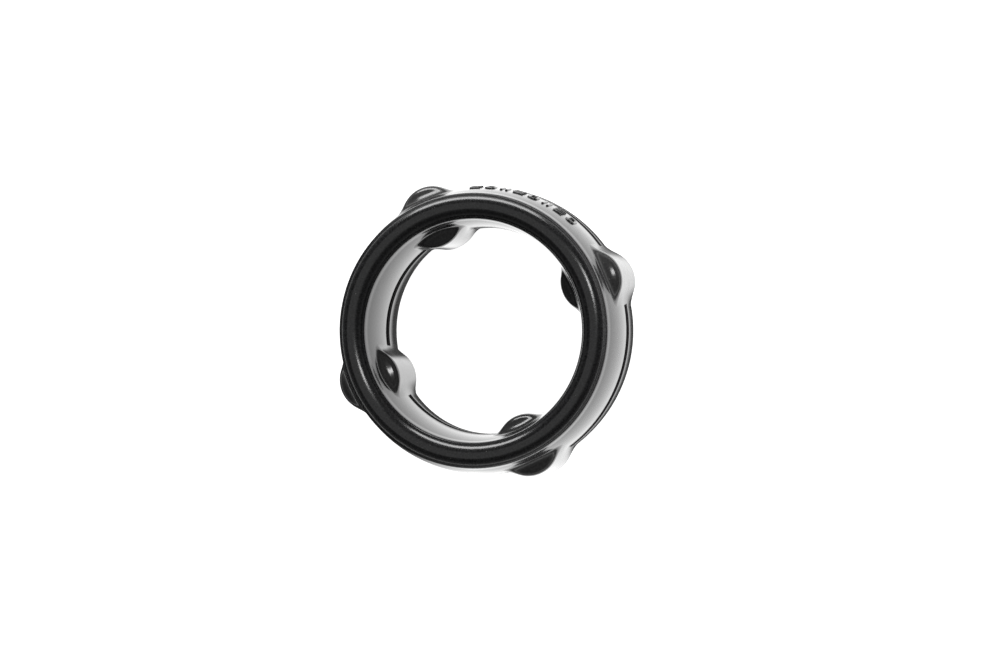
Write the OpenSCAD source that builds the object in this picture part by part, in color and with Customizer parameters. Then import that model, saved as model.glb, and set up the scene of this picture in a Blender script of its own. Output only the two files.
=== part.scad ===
// Fence insulator: a stiff rubber spacer ring with four lobes. The ring is two half mouldings that
// meet on a thin flat hoop at the middle of its length. Each lobe is a domed barrel moulded round
// the hoop and trapped between the halves, and a dowel through each barrel keys the halves together.
// The ring's axis is +Z. It lies on its rear nose at Z = 0, and the lobes are on the X and Y axes.

/* [Ring] */
// Mean diameter of the ring, on which the lobes are centred
ring_mean_d = 45.2; // [42:0.2:60]
// Length of the ring along its axis, over both noses
ring_len = 26.6; // [25:0.2:32]
// Thickness of the round nose bead at each end
nose_d = 4.6; // [4.2:0.1:5.2]
// Depth of the flat land along the crest of each nose
land_depth = 0.05; // [0.02:0.01:0.1]
// Thickness of the wall at the middle of the ring
waist_w = 7.4; // [6:0.1:8.6]
// Thickness of the wall at the neck, just under the nose bead
neck_w = 5.5; // [5:0.1:5.8]
// How late the wall thins towards the neck, from 1, evenly, to 3, all at the end
wall_power = 2.2; // [1:0.1:3]

/* [Middle joint] */
// Thickness of the hoop between the two halves
hoop_t = 2; // [0.8:0.1:2.2]
// Depth of the hoop's edges below the wall, inside and outside
groove_depth = 0.4; // [0.2:0.05:0.8]
// Chamfer on the halves' edges beside the hoop
lip_chamfer = 0.25; // [0.1:0.05:0.4]

/* [Lobes] */
// Diameter of a lobe's barrel
lobe_d = 11.5; // [9.6:0.1:12]
// Length of a lobe over its domed ends
lobe_len = 16.4; // [12:0.2:17]
// Height of the dome on each end of a lobe
dome_h = 1.5; // [0.8:0.1:2.5]

/* [Dowels] */
// Diameter of the dowel through each lobe
dowel_d = 2.5; // [2:0.1:3]
// Length of a dowel, which ends inside both nose beads
dowel_len = 21.6; // [19:0.2:22]

/* [Raised marks] */
// Number of raised bars in a row on the front half's outer wall
mark_count = 8; // [1:1:8]
// Angle from the middle of one bar to the next, in degrees
mark_pitch = 6; // [5.2:0.1:6.6]
// Angle that one bar covers, in degrees
mark_sweep = 4.4; // [2:0.1:5]
// Angle from +X to the middle of the row, in degrees
mark_centre = 47.4; // [43:0.1:48.4]
// Width of a bar along the ring's axis
mark_w = 3.2; // [2:0.1:4]
// Height of a bar above the wall
mark_h = 0.3; // [0.1:0.05:0.5]
// Gap from the joint face to the bars
mark_gap = 2.5; // [0.5:0.1:3.2]

/* [Hidden] */

round_fn = 96;
mean_r = ring_mean_d / 2;
mid_z = ring_len / 2;
nose_z = mid_z - nose_d / 2;        // height of the nose bead's centre above the middle
crest_z = mid_z - land_depth;       // height of the nose's flat land above the middle
face_z = hoop_t / 2;                // height of a half's joint face above the middle
lobe_count = 4;
lobe_pitch = 360 / lobe_count;
neck_drop = 1.4;                    // how far the neck is below the nose bead's centre
neck_z = nose_z - neck_drop;        // height of the neck above the middle
wall_run_out = 0.7;                 // how far the wall runs up beyond the nose bead's centre
wall_top = nose_z + wall_run_out;
wall_steps = 10;                    // straight stretches that the wall's curve is made of
dome_r = (pow(lobe_d / 2, 2) + pow(dome_h, 2)) / (2 * dome_h);
dome_z = lobe_len / 2 - dome_r;     // height of a dome's centre above the middle
mark_low = face_z + mark_gap;       // height of a bar's lower edge above the middle
mark_high = mark_low + mark_w;
mark_root = 0.3;                    // depth to which a bar is sunk into the wall

rubber = [0.07, 0.07, 0.075];
lobe_rubber = [0.10, 0.10, 0.11];
hoop_grey = [0.55, 0.53, 0.50];
dowel_tan = [0.72, 0.66, 0.52];

// Half thickness of the wall at height z above the middle
function wall_at(z) = (waist_w + (neck_w - waist_w) * pow((z - face_z) / (neck_z - face_z), wall_power)) / 2;

// Places its children at one of the lobes' centres, at the middle of the ring's length
module at_lobe(i) {
    rotate([0, 0, i * lobe_pitch])
        translate([mean_r, 0, 0])
            children();
}

// One side of the wall's section, from the joint face up to where it runs out in the nose bead
function wall_side() = concat(
    [[waist_w / 2 - lip_chamfer, face_z]],
    [for (i = [0 : wall_steps])
        let (z = face_z + lip_chamfer + (wall_top - face_z - lip_chamfer) * i / wall_steps)
            [wall_at(z), z]]
);

// Section of the wall of the front half, thickening from the nose to the joint face
module wall_section() {
    side = wall_side();
    last = len(side) - 1;
    translate([mean_r, 0])
        polygon(concat(side, [for (i = [last : -1 : 0]) [-side[i][0], side[i][1]]]));
}

// Section of the round nose bead with the flat land on its crest
module nose_section() {
    intersection() {
        translate([mean_r, nose_z])
            circle(d = nose_d, $fn = round_fn);
        translate([mean_r - nose_d, 0])
            square([2 * nose_d, crest_z]);
    }
}

// One raised bar on the outer wall, which follows the wall's slope
module raised_bar() {
    low_r = mean_r + wall_at(mark_low);
    high_r = mean_r + wall_at(mark_high);
    rotate_extrude(angle = mark_sweep, $fn = round_fn)
        polygon([
            [low_r - mark_root, mark_low],
            [low_r + mark_h, mark_low],
            [high_r + mark_h, mark_high],
            [high_r - mark_root, mark_high]
        ]);
}

// The row of raised bars
module raised_row() {
    first = mark_centre - (mark_count - 1) * mark_pitch / 2 - mark_sweep / 2;
    for (i = [0 : mark_count - 1])
        rotate([0, 0, first + i * mark_pitch])
            raised_bar();
}

// A lobe's barrel with its domed ends, centred on the origin
module lobe_shape() {
    intersection() {
        cylinder(d = lobe_d, h = lobe_len, center = true, $fn = round_fn);
        translate([0, 0, dome_z])
            sphere(r = dome_r, $fn = round_fn);
        translate([0, 0, -dome_z])
            sphere(r = dome_r, $fn = round_fn);
    }
}

// A dowel, centred on the origin
module dowel_shape() {
    cylinder(d = dowel_d, h = dowel_len, center = true, $fn = round_fn);
}

// One half of the ring above the middle, pocketed for the lobes and the dowels
module half_ring(marked) {
    difference() {
        union() {
            rotate_extrude($fn = round_fn)
                wall_section();
            rotate_extrude($fn = round_fn)
                nose_section();
            if (marked)
                raised_row();
        }
        for (i = [0 : lobe_count - 1]) {
            at_lobe(i)
                lobe_shape();
            at_lobe(i)
                dowel_shape();
        }
    }
}

// Front half of the ring, with the raised bars
module front_half() {
    color(rubber)
        translate([0, 0, mid_z])
            half_ring(true);
}

// Rear half of the ring, plain
module rear_half() {
    color(rubber)
        translate([0, 0, mid_z])
            mirror([0, 0, 1])
                half_ring(false);
}

// A thin flat hoop, centred on the origin, whose edges show in the groove between the halves
module hoop_shape() {
    difference() {
        cylinder(r = mean_r + waist_w / 2 - groove_depth, h = hoop_t, center = true, $fn = round_fn);
        cylinder(r = mean_r - waist_w / 2 + groove_depth, h = 2 * hoop_t, center = true, $fn = round_fn);
    }
}

// The hoop in place, drilled for the four dowels
module centre_hoop() {
    color(hoop_grey)
        translate([0, 0, mid_z])
            difference() {
                hoop_shape();
                for (i = [0 : lobe_count - 1])
                    at_lobe(i)
                        dowel_shape();
            }
}

// A lobe: a domed barrel with a slot where the hoop runs through it and a bore for its dowel
module lobe(i) {
    color(lobe_rubber)
        translate([0, 0, mid_z])
            difference() {
                at_lobe(i)
                    lobe_shape();
                at_lobe(i)
                    dowel_shape();
                hoop_shape();
            }
}

// A dowel in place in its lobe
module dowel(i) {
    color(dowel_tan)
        translate([0, 0, mid_z])
            at_lobe(i)
                dowel_shape();
}

front_half();
rear_half();
centre_hoop();
lobe(0);  // lobe_1
lobe(1);  // lobe_2
lobe(2);  // lobe_3
lobe(3);  // lobe_4
dowel(0);  // dowel_1
dowel(1);  // dowel_2
dowel(2);  // dowel_3
dowel(3);  // dowel_4
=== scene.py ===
import math

import bpy
import numpy as np
from mathutils import Matrix, Vector


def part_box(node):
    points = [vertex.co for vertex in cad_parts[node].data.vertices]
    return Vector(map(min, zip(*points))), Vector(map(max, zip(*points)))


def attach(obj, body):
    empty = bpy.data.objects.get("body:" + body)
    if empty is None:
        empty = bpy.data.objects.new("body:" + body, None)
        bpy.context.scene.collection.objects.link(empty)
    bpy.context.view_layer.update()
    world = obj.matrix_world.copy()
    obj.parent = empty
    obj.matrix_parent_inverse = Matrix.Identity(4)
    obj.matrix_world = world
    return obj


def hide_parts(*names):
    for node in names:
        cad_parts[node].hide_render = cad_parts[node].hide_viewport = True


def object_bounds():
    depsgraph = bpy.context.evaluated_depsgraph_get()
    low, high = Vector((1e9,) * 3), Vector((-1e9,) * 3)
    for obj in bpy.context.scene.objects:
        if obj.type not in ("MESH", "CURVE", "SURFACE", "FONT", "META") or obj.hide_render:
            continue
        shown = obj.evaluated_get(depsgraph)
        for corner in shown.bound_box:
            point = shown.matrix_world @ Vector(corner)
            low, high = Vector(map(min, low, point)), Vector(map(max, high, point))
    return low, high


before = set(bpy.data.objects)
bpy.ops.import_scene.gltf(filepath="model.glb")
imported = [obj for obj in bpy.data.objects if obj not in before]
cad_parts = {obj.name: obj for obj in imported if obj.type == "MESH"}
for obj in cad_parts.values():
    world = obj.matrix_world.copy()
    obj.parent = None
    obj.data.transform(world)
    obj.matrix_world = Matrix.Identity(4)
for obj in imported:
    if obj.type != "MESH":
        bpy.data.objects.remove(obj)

cad_low, cad_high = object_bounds()

# ---------------------------------------------------------------------------------------------
# Sizes. Lengths in the shape functions are in millimetres, and z is counted from the ring's middle.
# ---------------------------------------------------------------------------------------------
MM = 0.001
hoop_low, hoop_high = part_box("centre_hoop")
lobe_low, lobe_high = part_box("lobe_1")
front_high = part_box("front_half")[1]

MID_Z = (hoop_low.z + hoop_high.z) / 2 / MM       # height of the ring's middle in the frame
FACE = (hoop_high.z - hoop_low.z) / 2 / MM        # height of a half's joint face
CREST = front_high.z / MM - MID_Z                 # height of the nose's flat land
MEAN_R = (lobe_low.x + lobe_high.x) / 2 / MM      # radius that the lobes are centred on
LOBE_R = (lobe_high.x - lobe_low.x) / 2 / MM
LOBE_END = (lobe_high.z - lobe_low.z) / 2 / MM    # height of a dome's crown
HOOP_EDGE = hoop_high.x / MM - MEAN_R             # half width of the hoop

BEAD_R = 2.3                                      # radius of the nose bead's section
LAND = 0.05                                       # depth of the land cut on its crest
BEAD_Z = CREST + LAND - BEAD_R                    # height of the bead's centre
WAIST = 3.7                                       # half thickness of the wall at the joint
WALL_FALL = 0.95                                  # how much of that is lost up to the neck
WALL_POWER = 2.2                                  # how late the wall starts to thin
NECK_Z = BEAD_Z - 1.4                             # height of the neck under the bead
WALL_TOP = BEAD_Z + 0.7                           # where the wall runs out into the bead's flank
WALL_STOP = 0.3                                   # how far short of that its outline stops
BEAD_START = math.radians(20)                     # where the bead's outline starts, from level
CREASE = 0.5                                      # blend between the wall and the bead
LIP = 0.3                                         # rounding of the joint's lips
DOME_H = 1.5                                      # height of a lobe's dome
DOME_R = (LOBE_R**2 + DOME_H**2) / (2 * DOME_H)
DOME_EDGE = 0.9                                   # rounding of the dome's rim
FILLET = 1.3                                      # blend between a lobe and the wall
SINK = 0.02                                       # how far a lobe's skirt dips under the wall
SKIRT = 1.5                                       # how far the skirt may reach from the lobe
SKIRT_EASE = 0.6                                  # height over which the skirt widens from the joint
LOBES = 4
RIB_HALF = 0.45                                   # half width of the rib round the hoop's edge
RIB_RISE = 0.5                                    # height of that rib

MARKS = 8                                         # raised figures in a row on the front half
MARK_CENTRE = math.radians(47.4)                  # angle of the row's middle
MARK_PITCH = math.radians(6)
MARK_GAP = 2.5                                    # from the joint face to the row
MARK_TALL = 3.2
MARK_WIDE = 2.0
MARK_Z = FACE + MARK_GAP + MARK_TALL / 2          # height of the row's middle
MARK_RISE = 0.3                                   # height of a stroke above the wall
MARK_ROOT = 0.25                                  # depth to which a stroke is sunk
STROKE = 0.27                                     # half width of a stroke
STROKE_CORNER = 0.5                               # radius of the frame's corners, along its stroke
UPRIGHT = 0.5                                     # from a figure's middle to each upright bar

TURN_STEPS = 480                                  # steps of a lathed mesh round the ring
NET_CELL = 0.2                                    # cell of the lobe's net
NET_MARGIN = 0.6                                  # room that the net leaves round the lobe


# ---------------------------------------------------------------------------------------------
# Shape functions: signed distances, negative inside
# ---------------------------------------------------------------------------------------------
def smooth_min(a, b, k):
    """The lesser of a and b, blended where they differ by less than k."""
    h = np.clip(0.5 + 0.5 * (b - a) / k, 0, 1)
    return b + (a - b) * h - k * h * (1 - h)


def smooth_max(a, b, k):
    return -smooth_min(-a, -b, k)


def wall_half_width(z):
    """Half thickness of the wall at height z, before the nose bead is added."""
    s = np.clip((np.abs(z) - FACE) / (NECK_Z - FACE), 0, None)
    return WAIST - WALL_FALL * s**WALL_POWER


def section_distance(u, z):
    """Distance to the ring's section, u from its mean radius and z from its middle."""
    u, z = np.abs(u), np.abs(z)
    wall = np.maximum(u - wall_half_width(z), z - WALL_TOP)
    bead = np.hypot(u, z - BEAD_Z) - BEAD_R
    return smooth_min(wall, bead, CREASE)


def ring_distance(p):
    return section_distance(np.hypot(p[:, 0], p[:, 1]) - MEAN_R, p[:, 2])


def lobe_distance(p):
    """Distance to lobe 1, a domed barrel on the X axis."""
    rho = np.hypot(p[:, 0] - MEAN_R, p[:, 1])
    dome = np.hypot(rho, np.abs(p[:, 2]) - LOBE_END + DOME_R) - DOME_R
    return smooth_max(rho - LOBE_R, dome, DOME_EDGE)


def filleted_lobe(p):
    """A lobe with the skirt that blends it into the wall, cut off where the skirt has dipped under."""
    skin = smooth_min(lobe_distance(p), ring_distance(p) + SINK, FILLET)
    rho = np.hypot(p[:, 0] - MEAN_R, p[:, 1])
    z = np.abs(p[:, 2])
    widened = np.clip((z - FACE) / SKIRT_EASE, 0, 1)
    reach = LOBE_R + SKIRT * (0.5 + 0.5 * widened)
    cut = np.maximum(rho - reach, z - LOBE_END - SKIRT)
    return np.maximum(skin, cut)


def smooth_skin(p):
    """The wall and lobe 1 as one smooth skin, for normals that run on across the skirt's edge."""
    return smooth_min(lobe_distance(p), ring_distance(p), FILLET)


def gradient(f, p, step=0.004):
    """Unit gradient of f at the points p."""
    g = np.empty_like(p)
    for i in range(p.shape[1]):
        d = np.zeros(p.shape[1])
        d[i] = step
        g[:, i] = f(p + d) - f(p - d)
    return g / np.maximum(np.linalg.norm(g, axis=1, keepdims=True), 1e-9)


def settle(f, p, rounds=6):
    """Moves the points p along f's gradient onto its surface."""
    for _ in range(rounds):
        p = p - f(p)[:, None] * gradient(f, p)
    return p


# ---------------------------------------------------------------------------------------------
# Meshes
# ---------------------------------------------------------------------------------------------
def add_mesh(name, verts, faces, material, normals=None):
    """A smooth-shaded object from points in millimetres, z from the ring's middle."""
    mesh = bpy.data.meshes.new(name)
    placed = (np.asarray(verts) + [0, 0, MID_Z]) * MM
    mesh.from_pydata(placed.tolist(), [], faces)
    mesh.materials.append(material)
    mesh.polygons.foreach_set("use_smooth", [True] * len(mesh.polygons))
    if normals is not None:
        mesh.normals_split_custom_set_from_vertices(normals.tolist())
    mesh.update()
    piece = bpy.data.objects.new(name, mesh)
    bpy.context.scene.collection.objects.link(piece)
    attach(piece, "root")
    return piece


def lathe(name, outline, steps, material):
    """Turns a closed outline of (radius, z) points about the ring's axis."""
    outline = np.asarray(outline)
    n = len(outline)
    angle = np.linspace(0, 2 * math.pi, steps, endpoint=False)
    ring = np.empty((steps, n, 3))
    ring[:, :, 0] = outline[None, :, 0] * np.cos(angle)[:, None]
    ring[:, :, 1] = outline[None, :, 0] * np.sin(angle)[:, None]
    ring[:, :, 2] = outline[None, :, 1]
    faces = [
        (i * n + j, (i + 1) % steps * n + j, (i + 1) % steps * n + (j + 1) % n, i * n + (j + 1) % n)
        for i in range(steps)
        for j in range(n)
    ]
    return add_mesh(name, ring.reshape(-1, 3), faces, material)


def half_outline():
    """Outline of the front half's section, out along the joint face and over the nose."""
    turn = np.linspace(-math.pi / 2, 0, 6)
    lip = np.stack([WAIST - LIP + LIP * np.cos(turn), FACE + LIP + LIP * np.sin(turn)], 1)
    wall_z = np.linspace(FACE + LIP, WALL_TOP - WALL_STOP, 44)[1:]
    wall = np.stack([wall_half_width(wall_z), wall_z], 1)
    turn = np.linspace(BEAD_START, math.pi / 2, 30)[:-1]
    bead = np.stack([BEAD_R * np.cos(turn), BEAD_Z + BEAD_R * np.sin(turn)], 1)
    upper = settle(lambda p: section_distance(p[:, 0], p[:, 1]), np.concatenate([wall, bead]))
    upper[:, 1] = np.minimum(upper[:, 1], CREST)
    outer = np.concatenate([lip, upper])
    inner = outer[::-1] * [-1, 1]
    return np.concatenate([outer, [[0, CREST]], inner]) + [MEAN_R, 0]


def hoop_outline():
    """Outline of the hoop's section: a flat band with a round rib along each edge."""
    turn = np.linspace(-math.pi / 2, math.pi / 2, 12)
    foot = HOOP_EDGE - RIB_RISE
    rib = np.stack([foot + RIB_RISE * np.cos(turn), RIB_HALF * np.sin(turn)], 1)
    side = np.concatenate([[[foot, -FACE]], rib, [[foot, FACE]]])
    return np.concatenate([side, side[::-1] * [-1, 1]]) + [MEAN_R, 0]


def bar_path(start, end):
    """A straight stroke from start to end: its points and how wide it is at each, with round ends."""
    start, end = np.array(start), np.array(end)
    length = np.linalg.norm(end - start)
    ease = STROKE * (1 - np.cos(np.linspace(0.2, math.pi / 2, 5)))
    along = np.concatenate([ease, (length - ease)[::-1]]) / length
    width = np.sqrt(1 - (1 - ease / STROKE) ** 2)
    return start + along[:, None] * (end - start), np.concatenate([width, width[::-1]])


def frame_path():
    """A closed stroke round a rectangle with round corners."""
    wide = MARK_WIDE / 2 - STROKE - STROKE_CORNER
    tall = MARK_TALL / 2 - STROKE - STROKE_CORNER
    points = []
    for quarter, (x, z) in enumerate([(wide, tall), (-wide, tall), (-wide, -tall), (wide, -tall)]):
        for a in np.linspace(0, math.pi / 2, 5) + quarter * math.pi / 2:
            points.append([x + STROKE_CORNER * math.cos(a), z + STROKE_CORNER * math.sin(a)])
    return np.array(points), np.ones(len(points))


def stroke_mesh(path, width, closed):
    """Sweeps a round-topped section along a path of (along the wall, height) points."""
    turn = np.linspace(0, math.pi, 9)
    across = np.concatenate([[1], np.cos(turn), [-1]])
    rise = np.concatenate([[-MARK_ROOT], MARK_RISE * np.sin(turn), [-MARK_ROOT]])
    if closed:
        way = np.roll(path, -1, 0) - np.roll(path, 1, 0)
    else:
        way = np.gradient(path, axis=0)
    way /= np.linalg.norm(way, axis=1, keepdims=True)
    side = np.stack([way[:, 1], -way[:, 0]], 1)
    n, m = len(path), len(across)
    flat = path[:, None] + side[:, None] * (width[:, None, None] * STROKE * across[None, :, None])
    lift = np.broadcast_to(rise, (n, m))
    verts = np.concatenate([flat, lift[:, :, None]], 2).reshape(-1, 3)
    faces = [
        (i * m + j, (i + 1) % n * m + j, (i + 1) % n * m + (j + 1) % m, i * m + (j + 1) % m)
        for i in range(n if closed else n - 1)
        for j in range(m)
    ]
    if not closed:
        faces += [tuple(range(m)), tuple((n - 1) * m + j for j in reversed(range(m)))]
    return verts, faces


def raised_mark(number, angle, material):
    """A raised figure on the front half's outer wall: a frame, two upright bars or three level bars."""
    half_wide, half_tall = MARK_WIDE / 2, MARK_TALL / 2
    kind = number % 3
    if kind == 0:
        strokes = [(*frame_path(), True)]
    elif kind == 1:
        level = half_tall - STROKE
        strokes = [(*bar_path((-half_wide, z), (half_wide, z)), False) for z in (-level, 0, level)]
    else:
        strokes = [(*bar_path((x, -half_tall), (x, half_tall)), False) for x in (-UPRIGHT, UPRIGHT)]
    verts, faces = [], []
    for path, width, closed in strokes:
        points, polygons = stroke_mesh(path, width, closed)
        first = sum(len(a) for a in verts)
        faces += [tuple(first + i for i in polygon) for polygon in polygons]
        verts.append(points)
    flat = np.concatenate(verts)
    z = MARK_Z + flat[:, 1]
    radius = MEAN_R + wall_half_width(z) + flat[:, 2]
    turn = angle + flat[:, 0] / (MEAN_R + WAIST)
    placed = np.stack([radius * np.cos(turn), radius * np.sin(turn), z], 1)
    return add_mesh(f"raised_mark_{number + 1}", placed, faces, material)


def surface_net(f, low, high, cell):
    """Quads round f's zero level inside a box, one point for each cell that the level crosses."""
    axes = [np.arange(low[i], high[i] + cell, cell) for i in range(3)]
    shape = tuple(len(a) for a in axes)
    grid = np.stack(np.meshgrid(*axes, indexing="ij"), -1).reshape(-1, 3)
    inside = (f(grid) < 0).reshape(shape)
    cells = np.zeros(tuple(n - 1 for n in shape), int)
    for dx in (0, 1):
        for dy in (0, 1):
            for dz in (0, 1):
                cells += inside[dx : shape[0] - 1 + dx, dy : shape[1] - 1 + dy, dz : shape[2] - 1 + dz]
    crossed = (cells > 0) & (cells < 8)
    index = np.full(crossed.shape, -1)
    index[crossed] = np.arange(crossed.sum())
    points = np.argwhere(crossed) * cell + low + cell / 2
    faces = []
    for axis in range(3):
        a = np.moveaxis(inside, axis, 0)
        x = np.moveaxis(index, axis, 0)
        change = a[1:, 1:-1, 1:-1] != a[:-1, 1:-1, 1:-1]
        i, j, k = np.nonzero(change)
        quad = np.stack([x[i, j, k], x[i, j + 1, k], x[i, j + 1, k + 1], x[i, j, k + 1]], 1)
        outward = a[:-1, 1:-1, 1:-1][i, j, k]
        # Quads laid out along x and z face down the y axis, so these are turned over
        if axis == 1:
            outward = ~outward
        quad[~outward] = quad[~outward][:, ::-1]
        faces.append(quad)
    return points, np.concatenate(faces)


def even_out(points, faces, rounds):
    """Averages each point with its neighbours, to turn the net's steps into a smooth sheet."""
    edges = np.concatenate([faces[:, [i, (i + 1) % 4]] for i in range(4)])
    for _ in range(rounds):
        total = np.zeros_like(points)
        count = np.zeros(len(points))
        for a, b in ((0, 1), (1, 0)):
            np.add.at(total, edges[:, a], points[edges[:, b]])
            np.add.at(count, edges[:, a], 1)
        points = (points + total / count[:, None]) / 2
    return points


def lobe_net():
    """Points, quads and normals of lobe 1 with its skirt."""
    reach = LOBE_R + SKIRT + NET_MARGIN
    tall = LOBE_END + SKIRT + NET_MARGIN
    low = np.array([MEAN_R - reach, -reach, -tall])
    high = np.array([MEAN_R + reach, reach, tall])
    cell = NET_CELL
    points, faces = surface_net(filleted_lobe, low, high, cell)
    points = settle(filleted_lobe, even_out(points, faces, rounds=2), rounds=5)
    return points, faces, gradient(smooth_skin, points)


# ---------------------------------------------------------------------------------------------
# Materials. Sizes of their detail are in millimetres.
# ---------------------------------------------------------------------------------------------
CLOUD = 6.0                                       # cloudy patches in the gloss
GRAIN = 0.35
GRAIN_DEPTH = 0.02
SPECK_SPACING = 0.9
DUST_PATCH = 2.2                                  # patches where the dust lies
DUST = (0.16, 0.155, 0.15, 1)
DUST_ROUGHNESS = 0.7
RUB_RISE = 1.5                                    # height above the neck over which it gets duller
MOTTLE = 0.8                                      # patches in the plain plastics


def node(tree, kind, **values):
    made = tree.nodes.new(kind)
    for key, value in values.items():
        setattr(made, key, value)
    return made


def ramp(tree, source, stops):
    """A colour ramp from source through (position, value) stops, as grey values or colours."""
    made = node(tree, "ShaderNodeValToRGB")
    elements = made.color_ramp.elements
    while len(elements) < len(stops):
        elements.new(0.5)
    for element, (position, value) in zip(elements, stops):
        element.position = position
        element.color = (value, value, value, 1) if isinstance(value, float) else (*value, 1)
    tree.links.new(source, made.inputs["Fac"])
    return made.outputs["Color"]


def noise(tree, coordinate, scale, detail=4.0):
    """Noise with features about scale millimetres across."""
    made = node(tree, "ShaderNodeTexNoise")
    made.inputs["Scale"].default_value = 1 / (scale * MM)
    made.inputs["Detail"].default_value = detail
    tree.links.new(coordinate, made.inputs["Vector"])
    return made.outputs["Fac"]


def math_node(tree, operation, a, b=None):
    """The result of an operation on a and b, each of them a socket or a number."""
    made = node(tree, "ShaderNodeMath", operation=operation)
    for socket, value in zip(made.inputs, (a, b)):
        if isinstance(value, (int, float)):
            socket.default_value = value
        elif value is not None:
            tree.links.new(value, socket)
    return made.outputs[0]


def mix(tree, data_type, factor, a, b):
    """A blend by factor from the socket a to the constant b."""
    made = node(tree, "ShaderNodeMix", data_type=data_type)
    tree.links.new(factor, made.inputs["Factor"])
    tree.links.new(a, made.inputs["A"])
    made.inputs["B"].default_value = b
    return made.outputs["Result"]


def rubber(name, dark, light, gloss, haze, worn, relief):
    """Moulded black rubber with a fine grain and pale dust. Its roughness is cloudy, from gloss to
    haze, and is worn on the noses; relief is the strength of the grain's bump."""
    material = bpy.data.materials.new(name)
    material.use_nodes = True
    tree = material.node_tree
    shader = tree.nodes["Principled BSDF"]
    shader.inputs["IOR"].default_value = 1.52
    link = tree.links.new
    place = node(tree, "ShaderNodeTexCoord").outputs["Object"]
    cloud = noise(tree, place, CLOUD)
    grain = noise(tree, place, GRAIN, detail=6.0)
    specks = node(tree, "ShaderNodeTexVoronoi", feature="F1")
    specks.inputs["Scale"].default_value = 1 / (SPECK_SPACING * MM)
    link(place, specks.inputs["Vector"])
    dust = ramp(tree, specks.outputs["Distance"], [(0.0, 1.0), (0.07, 0.8), (0.11, 0.0)])
    patch = ramp(tree, noise(tree, place, DUST_PATCH), [(0.50, 0.0), (0.68, 1.0)])
    dusty = math_node(tree, "MULTIPLY", dust, patch)
    base = ramp(tree, grain, [(0.3, dark), (0.7, light)])
    link(mix(tree, "RGBA", dusty, base, DUST), shader.inputs["Base Color"])
    axes = node(tree, "ShaderNodeSeparateXYZ")
    link(place, axes.inputs[0])
    height = math_node(tree, "SUBTRACT", axes.outputs["Z"], MID_Z * MM)
    rubbed = node(tree, "ShaderNodeMapRange")
    rubbed.inputs["From Min"].default_value = NECK_Z * MM
    rubbed.inputs["From Max"].default_value = (NECK_Z + RUB_RISE) * MM
    link(math_node(tree, "ABSOLUTE", height), rubbed.inputs["Value"])
    rough = ramp(tree, cloud, [(0.3, gloss), (0.7, haze)])
    rough = mix(tree, "FLOAT", rubbed.outputs["Result"], rough, worn)
    rough = mix(tree, "FLOAT", dusty, rough, DUST_ROUGHNESS)
    link(rough, shader.inputs["Roughness"])
    bump = node(tree, "ShaderNodeBump")
    bump.inputs["Strength"].default_value = relief
    bump.inputs["Distance"].default_value = GRAIN_DEPTH * MM
    link(grain, bump.inputs["Height"])
    link(bump.outputs["Normal"], shader.inputs["Normal"])
    return material


def plain_plastic(name, dark, light):
    """A plain moulded plastic with a faint mottle."""
    material = bpy.data.materials.new(name)
    material.use_nodes = True
    tree = material.node_tree
    shader = tree.nodes["Principled BSDF"]
    place = node(tree, "ShaderNodeTexCoord").outputs["Object"]
    mottle = noise(tree, place, MOTTLE)
    tree.links.new(ramp(tree, mottle, [(0.3, dark), (0.7, light)]), shader.inputs["Base Color"])
    tree.links.new(ramp(tree, mottle, [(0.3, 0.4), (0.7, 0.6)]), shader.inputs["Roughness"])
    return material


# ---------------------------------------------------------------------------------------------
# The ring
# ---------------------------------------------------------------------------------------------
ring_rubber = rubber(
    "ring_rubber",
    dark=(0.002, 0.002, 0.002),
    light=(0.020, 0.020, 0.021),
    gloss=0.11,
    haze=0.17,
    worn=0.20,
    relief=0.30,
)
# The lobes' rubber is the ring's rubber with a paler base colour: painted light, standing in for how the
# light falls on the lobes' domes.
lobe_rubber = rubber(
    "lobe_rubber",
    dark=(0.022, 0.022, 0.022),
    light=(0.040, 0.040, 0.040),
    gloss=0.12,
    haze=0.20,
    worn=0.20,
    relief=0.06,
)
hoop_plastic = plain_plastic("hoop_plastic", (0.035, 0.028, 0.022), (0.06, 0.048, 0.038))
dowel_plastic = plain_plastic("dowel_plastic", (0.50, 0.44, 0.32), (0.66, 0.60, 0.46))

outline = half_outline()
front = lathe("front_half_moulding", outline, TURN_STEPS, ring_rubber)
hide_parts("front_half")
# Mirrored, and in reverse order so that its faces still point outwards
rear = lathe("rear_half_moulding", outline[::-1] * [1, -1], TURN_STEPS, ring_rubber)
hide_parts("rear_half")

hoop = lathe("centre_hoop_ring", hoop_outline(), TURN_STEPS, hoop_plastic)
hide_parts("centre_hoop")

net_points, net_faces, net_normals = lobe_net()
for i in range(LOBES):
    turn = np.array(Matrix.Rotation(i * 2 * math.pi / LOBES, 3, "Z"))
    lobe = add_mesh(
        f"lobe_{i + 1}_barrel", net_points @ turn.T, net_faces.tolist(), lobe_rubber, net_normals @ turn.T
    )
    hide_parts(f"lobe_{i + 1}")
    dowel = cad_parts[f"dowel_{i + 1}"]
    for slot in dowel.material_slots:
        slot.material = dowel_plastic

for i in range(MARKS):
    mark = raised_mark(i, MARK_CENTRE + (i - (MARKS - 1) / 2) * MARK_PITCH, ring_rubber)

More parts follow.
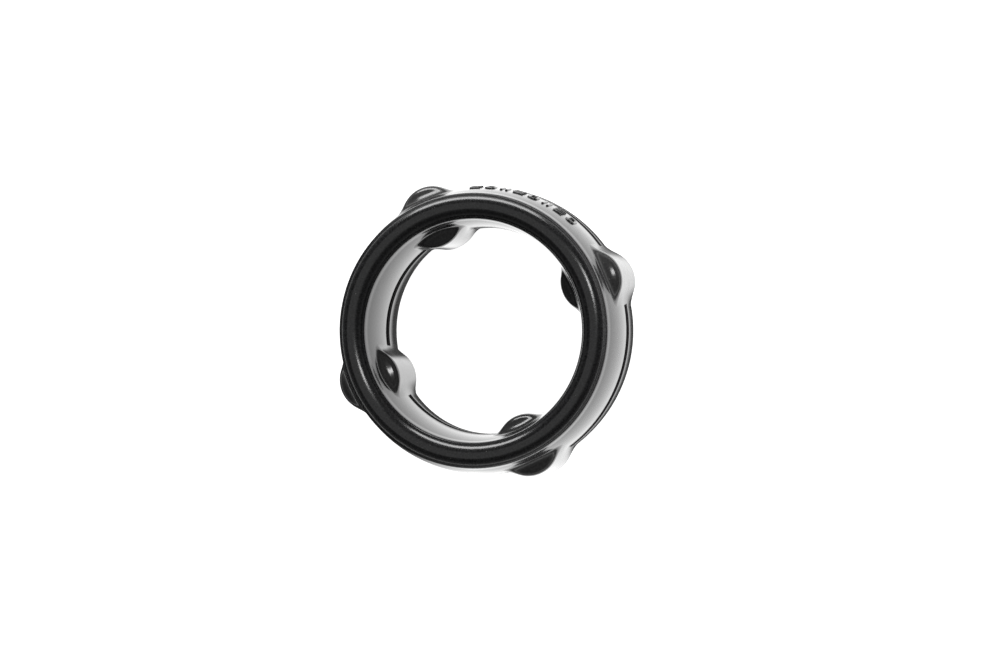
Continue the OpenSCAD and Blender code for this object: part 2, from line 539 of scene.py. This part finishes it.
# ---------------------------------------------------------------------------------------------
# Floor, lights and camera
# ---------------------------------------------------------------------------------------------
ROLL = math.radians(23.4)                         # turn of the picture about the ring's axis
TILT = math.radians(13.4)                         # lean of the camera off the axis, to the right
DISTANCE = 0.785                                  # metres from the camera to where it aims
LENS = 154.0                                      # focal length
AIM_RIGHT = 2.31 * MM                             # from the ring's middle to where the camera aims
AIM_UP = -0.42 * MM
FLOOR_HALF = 3.0                                  # metres from the floor's middle to its sides
FLOOR_DROP = 0.1 * MM                             # how far below the ring the floor lies
# The light panel is a glow that only reflections see: a painted reflection of a bright floor, with
# painted contact shadow under the ring's walls and painted shade on one side.
PANEL = 100 * MM                                  # distance from the axis that its ramp spans
PANEL_HALF = 1.5 * PANEL
PANEL_DROP = 0.05 * MM
PANEL_SHADE_ANGLE = 190                           # picture angle of its side with painted shade
PANEL_SHADE_FROM = 0.23                           # part of PANEL inside which it isn't shaded
PANEL_STRENGTH = 2.8
PANEL_RINGS = [                                   # (part of PANEL from the axis, brightness)
    (0.0, 0.72), (0.155, 0.72),                   # inside the ring
    (0.175, 0.03), (0.275, 0.03),                 # under its walls: painted contact shadow
    (0.295, 0.75), (0.5, 0.75), (0.62, 0.06),     # round it
]
SKY = [(0.0, 0.30), (0.22, 0.18), (0.5, 0.04), (0.8, 0.10), (0.95, 0.60)]  # (height, brightness)


def picture_direction(angle):
    """Level direction that points at this many degrees, anticlockwise from the picture's right."""
    a = math.radians(angle) - ROLL
    return Vector((math.cos(a), math.sin(a), 0))


middle = Vector((0, 0, MID_Z * MM))
back = picture_direction(0) * math.sin(TILT) + Vector((0, 0, math.cos(TILT)))
right = (picture_direction(0) - picture_direction(0).dot(back) * back).normalized()
up = back.cross(right)
camera_data = bpy.data.cameras.new("camera")
camera_data.lens = LENS
camera_data.clip_start = 0.05
camera_data.clip_end = 20
camera = bpy.data.objects.new("camera", camera_data)
target = middle + right * AIM_RIGHT + up * AIM_UP
turned = Matrix((right, up, back)).transposed().to_4x4()
camera.matrix_world = Matrix.Translation(target + back * DISTANCE) @ turned
bpy.context.scene.collection.objects.link(camera)
bpy.context.scene.camera = camera


def softbox(name, picture_angle, elevation, distance, width, height, power):
    """A rectangular light that faces the ring from this side and height."""
    e = math.radians(elevation)
    way = picture_direction(picture_angle) * math.cos(e) + Vector((0, 0, math.sin(e)))
    data = bpy.data.lights.new(name, "AREA")
    data.shape = "RECTANGLE"
    data.size, data.size_y = width, height
    data.energy = power
    lamp = bpy.data.objects.new(name, data)
    lamp.location = middle + way * distance
    lamp.rotation_euler = way.to_track_quat("Z", "Y").to_euler()
    bpy.context.scene.collection.objects.link(lamp)


softbox("window", picture_angle=100, elevation=14, distance=1.6, width=1.8, height=0.6, power=34)
softbox("key", picture_angle=30, elevation=57, distance=1.0, width=0.15, height=0.27, power=2.2)

# The studio is dim at the sides, dark above them and bright straight overhead
world = bpy.data.worlds.new("studio")
world.use_nodes = True
bpy.context.scene.world = world
sky_tree = world.node_tree
sky_way = node(sky_tree, "ShaderNodeSeparateXYZ")
sky_tree.links.new(node(sky_tree, "ShaderNodeTexCoord").outputs["Generated"], sky_way.inputs[0])
sky = ramp(sky_tree, sky_way.outputs["Z"], SKY)
sky_tree.links.new(sky, sky_tree.nodes["Background"].inputs["Color"])


def plane(name, half, height, material):
    """A level square sheet of the stage."""
    mesh = bpy.data.meshes.new(name)
    corners = [(-half, -half, 0), (half, -half, 0), (half, half, 0), (-half, half, 0)]
    mesh.from_pydata(corners, [], [(0, 1, 2, 3)])
    mesh.materials.append(material)
    sheet = bpy.data.objects.new(name, mesh)
    sheet.location.z = height
    bpy.context.scene.collection.objects.link(sheet)
    return sheet


def white_paper():
    """Matt paper that glows, so that it is white in the picture."""
    material = bpy.data.materials.new("paper")
    material.use_nodes = True
    shader = material.node_tree.nodes["Principled BSDF"]
    shader.inputs["Base Color"].default_value = (0.9, 0.9, 0.89, 1)
    shader.inputs["Roughness"].default_value = 0.9
    shader.inputs["Emission Color"].default_value = (1, 1, 1, 1)
    shader.inputs["Emission Strength"].default_value = 1.0
    return material


def painted_reflection_glow():
    """A glow that only reflections see, a painted reflection: bright inside the ring and round it, with
    painted contact shadow under its walls and painted shade on one side.
    """
    material = bpy.data.materials.new("painted_reflection_panel")
    material.use_nodes = True
    tree = material.node_tree
    link = tree.links.new
    tree.nodes.remove(tree.nodes["Principled BSDF"])
    place = node(tree, "ShaderNodeTexCoord").outputs["Object"]
    from_axis = node(tree, "ShaderNodeVectorMath", operation="LENGTH")
    link(place, from_axis.inputs[0])
    reach = math_node(tree, "DIVIDE", from_axis.outputs["Value"], PANEL)
    way = node(tree, "ShaderNodeVectorMath", operation="NORMALIZE")
    link(place, way.inputs[0])
    side = node(tree, "ShaderNodeVectorMath", operation="DOT_PRODUCT")
    link(way.outputs[0], side.inputs[0])
    side.inputs[1].default_value = picture_direction(PANEL_SHADE_ANGLE)
    outside = math_node(tree, "GREATER_THAN", reach, PANEL_SHADE_FROM)
    shaded = math_node(tree, "MULTIPLY", side.outputs["Value"], outside)
    keep = ramp(tree, shaded, [(0.35, 1.0), (0.75, 0.05)])
    emission = node(tree, "ShaderNodeEmission")
    emission.inputs["Strength"].default_value = PANEL_STRENGTH
    link(math_node(tree, "MULTIPLY", ramp(tree, reach, PANEL_RINGS), keep), emission.inputs["Color"])
    link(emission.outputs[0], tree.nodes["Material Output"].inputs["Surface"])
    return material


plane("floor", FLOOR_HALF, cad_low.z - FLOOR_DROP, white_paper())

# The panel lies just above the floor, and only reflections see it, as a painted reflection with painted
# shadow under the walls
panel = plane("painted_reflection_panel", PANEL_HALF, cad_low.z - PANEL_DROP, painted_reflection_glow())
panel.visible_camera = False
panel.visible_diffuse = False
panel.visible_shadow = False

bpy.context.scene.view_settings.view_transform = "Standard"
